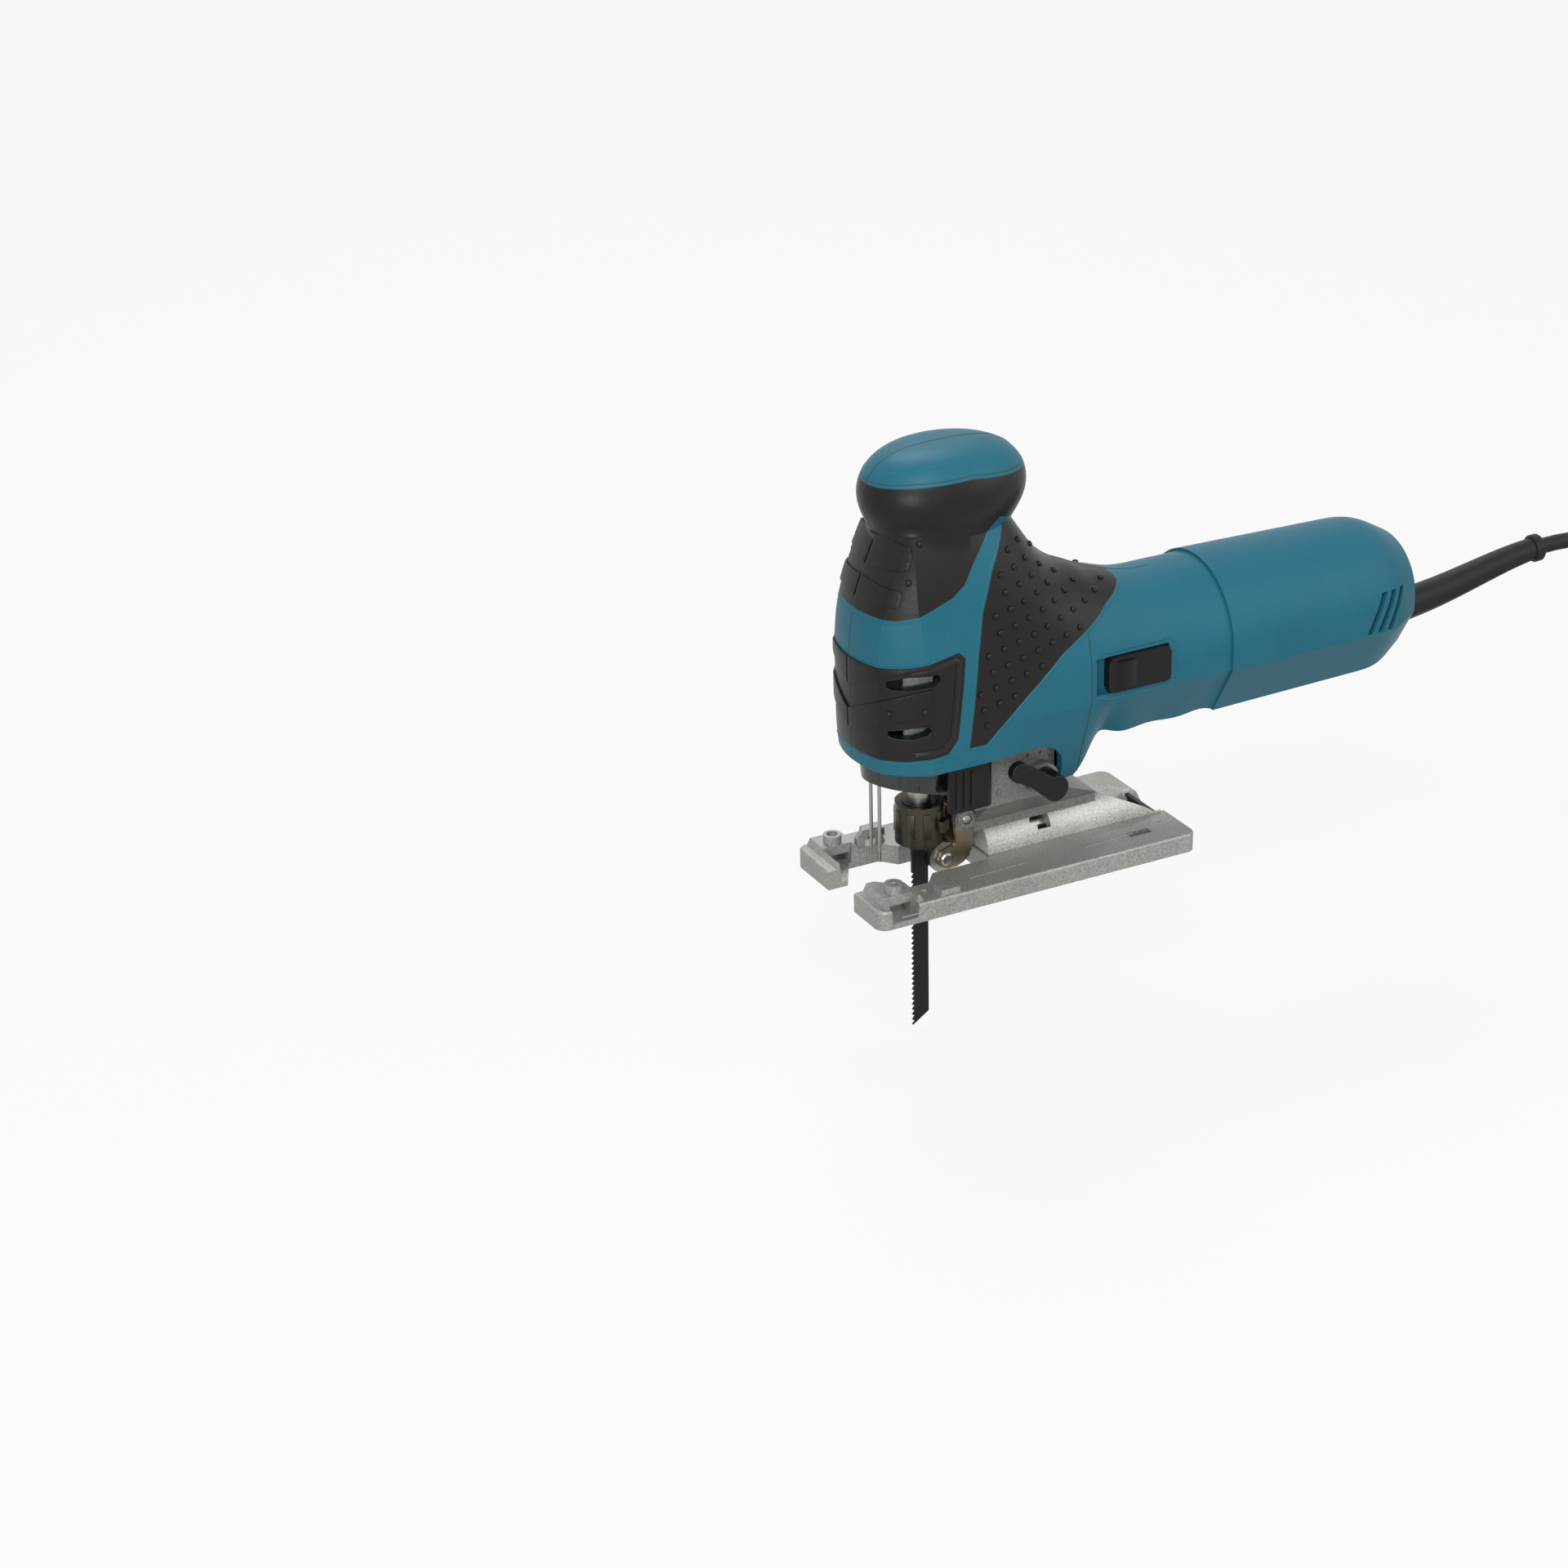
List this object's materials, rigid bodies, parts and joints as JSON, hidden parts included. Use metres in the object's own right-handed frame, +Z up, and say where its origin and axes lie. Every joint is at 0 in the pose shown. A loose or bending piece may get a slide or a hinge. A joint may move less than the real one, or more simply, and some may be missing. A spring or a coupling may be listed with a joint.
{
  "type": "jigsaw power tool",
  "caption": "Corded barrel-grip jigsaw with front knob, slide switch, reciprocating blade on a crank drive and a base plate that tilts for bevel cuts.",
  "frame": {"origin": "centre of the base plate's sole, on its underside", "axes": "+X to the rear along the tool, -X is the cutting direction, +Y to the right, +Z up"},
  "size_m": [0.5234, 0.1218, 0.273],
  "materials": {
    "teal_plastic": "satin moulded",
    "black_elastomer": "matte moulded",
    "black_plastic": "moulded",
    "cast_aluminium": "die cast",
    "machined_aluminium": "die cast and machined",
    "steel": "ground",
    "screw_steel": "zinc plated",
    "dark_nickel": "dark nickel plated",
    "champagne_steel": "plated sheet",
    "black_blade": "black oxide",
    "clear_plastic": "clear moulded",
    "bronze": "sintered",
    "copper": "enamelled wire",
    "laminations": "stacked sheet",
    "carbon": "pressed",
    "cord_rubber": "moulded rubber"
  },
  "bodies": {
    "housing": {"handle_shell_left": "teal_plastic", "handle_shell_right": "teal_plastic", "motor_housing": "teal_plastic", "rear_cover": "teal_plastic", "knob_grip_left": "black_elastomer", "knob_grip_right": "black_elastomer", "side_grip_left": "black_elastomer", "side_grip_right": "black_elastomer", "vent_panel_left": "black_elastomer", "vent_panel_right": "black_elastomer", "switch_unit": "black_plastic", "speed_controller": "black_plastic", "brush_holders": "black_plastic", "gear_housing": "cast_aluminium", "wire_guard": "steel", "opener_hinge_pin": "steel", "arm_pivot_pin": "steel", "front_bearing": "steel", "rear_bearing": "steel", "gear_bearing": "steel", "dial_pin": "steel", "base_clamp_washer": "steel", "housing_screws": "screw_steel", "rear_cover_screws": "screw_steel", "base_clamp_bolt": "screw_steel", "plunger_bushes": "bronze", "field_coils": "copper", "field_core": "laminations", "carbon_brushes": "carbon", "cord_guard": "cord_rubber", "cord_lead": "cord_rubber", "cord_coil": "cord_rubber", "coil_tie": "cord_rubber", "mains_plug": "cord_rubber"},
    "base": {"base": "machined_aluminium", "trough_end_plate": "black_plastic"},
    "dust_cover": {"dust_cover": "clear_plastic"},
    "tool_opener": {"tool_opener": "black_plastic"},
    "plunger": {"plunger": "steel", "blade_clamp_body": "dark_nickel", "saw_blade": "black_blade"},
    "clamp_collar": {"blade_clamp_collar": "dark_nickel"},
    "roller_arm": {"roller_arm": "champagne_steel", "roller_pin": "steel"},
    "guide_roller": {"guide_roller": "steel"},
    "orbit_lever": {"orbit_lever": "black_plastic", "orbit_shaft": "steel"},
    "switch": {"switch_slider": "black_plastic", "switch_rod": "black_plastic"},
    "speed_dial": {"speed_dial": "black_plastic"},
    "armature": {"armature_shaft": "steel", "armature_core": "laminations", "armature_windings": "copper", "commutator": "bronze", "cooling_fan": "black_plastic", "pinion": "steel"},
    "drive_gear": {"drive_gear": "steel", "crank_pin": "steel", "gear_axle": "steel"}
  },
  "joints": [
    {"name": "base_tilt", "type": "hinge", "parent": "housing", "child": "base", "pos_m": [0, 0, 0.01], "axis": [1, 0, 0], "range_deg": [-45, 45]},
    {"name": "cover_slide", "type": "slide", "parent": "housing", "child": "dust_cover", "axis": [0, 0, -1], "range_m": [0, 0.01]},
    {"name": "opener_swing", "type": "hinge", "parent": "housing", "child": "tool_opener", "pos_m": [-0.022, -0.026, 0.052], "axis": [0, 0, 1], "range_deg": [0, 90]},
    {"name": "plunger_stroke", "type": "slide", "parent": "housing", "child": "plunger", "axis": [0, 0, 1], "range_m": [0, 0.026]},
    {"name": "collar_turn", "type": "hinge", "parent": "plunger", "child": "clamp_collar", "pos_m": [-0.039, 0, 0.028], "axis": [0, 0, 1], "range_deg": [-45, 0]},
    {"name": "roller_swing", "type": "hinge", "parent": "housing", "child": "roller_arm", "pos_m": [-0.021, 0, 0.0275], "axis": [0, 1, 0], "range_deg": [-3, 0]},
    {"name": "roller_spin", "type": "hinge", "parent": "roller_arm", "child": "guide_roller", "pos_m": [-0.0289, 0, 0.0086], "axis": [0, 1, 0], "continuous": true},
    {"name": "lever_turn", "type": "hinge", "parent": "housing", "child": "orbit_lever", "pos_m": [0.009, -0.0295, 0.045], "axis": [0, 1, 0], "range_deg": [0, 105]},
    {"name": "switch_travel", "type": "slide", "parent": "housing", "child": "switch", "axis": [-1, 0, 0], "range_m": [0, 0.005]},
    {"name": "dial_turn", "type": "hinge", "parent": "housing", "child": "speed_dial", "pos_m": [0.1915, 0, 0.0955], "axis": [0, 1, 0], "range_deg": [0, 270]},
    {"name": "armature_spin", "type": "hinge", "parent": "housing", "child": "armature", "pos_m": [0.06, 0, 0.0895], "axis": [1, 0, 0], "continuous": true},
    {"name": "gear_spin", "type": "hinge", "parent": "housing", "child": "drive_gear", "pos_m": [-0.017, 0, 0.1099], "axis": [1, 0, 0], "continuous": true}
  ],
  "couplings": [
    {"joint": "collar_turn", "follows": "opener_swing", "ratio": -0.5},
    {"joint": "gear_spin", "follows": "armature_spin", "ratio": -0.21429}
  ]
}
